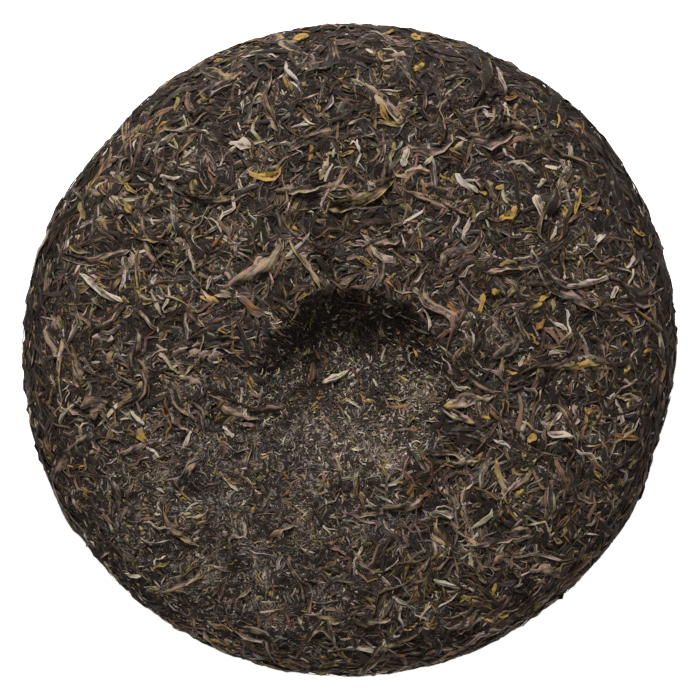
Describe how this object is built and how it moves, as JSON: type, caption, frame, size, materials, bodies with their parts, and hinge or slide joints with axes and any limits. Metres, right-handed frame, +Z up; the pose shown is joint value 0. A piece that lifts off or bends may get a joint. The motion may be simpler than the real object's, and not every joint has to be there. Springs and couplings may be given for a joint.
{
  "type": "pu erh tea cake",
  "caption": "Round pressed cake of whole twisted dried tea leaves, lying on its domed front with an off-centre dimple in its upturned back.",
  "frame": {"origin": "middle of the flat spot that the cake rests on", "axes": "+Z up out of the dimpled back, +Y towards the dimple's steep wall, +X to the right with +Y pointing away"},
  "size_m": [0.195, 0.1955, 0.0242],
  "materials": {
    "pressed_tea": "dry matt twisted leaves, brown black with grey, olive, rust and cream ones"
  },
  "bodies": {
    "root": {"tea_cake": "pressed_tea"}
  },
  "joints": []
}
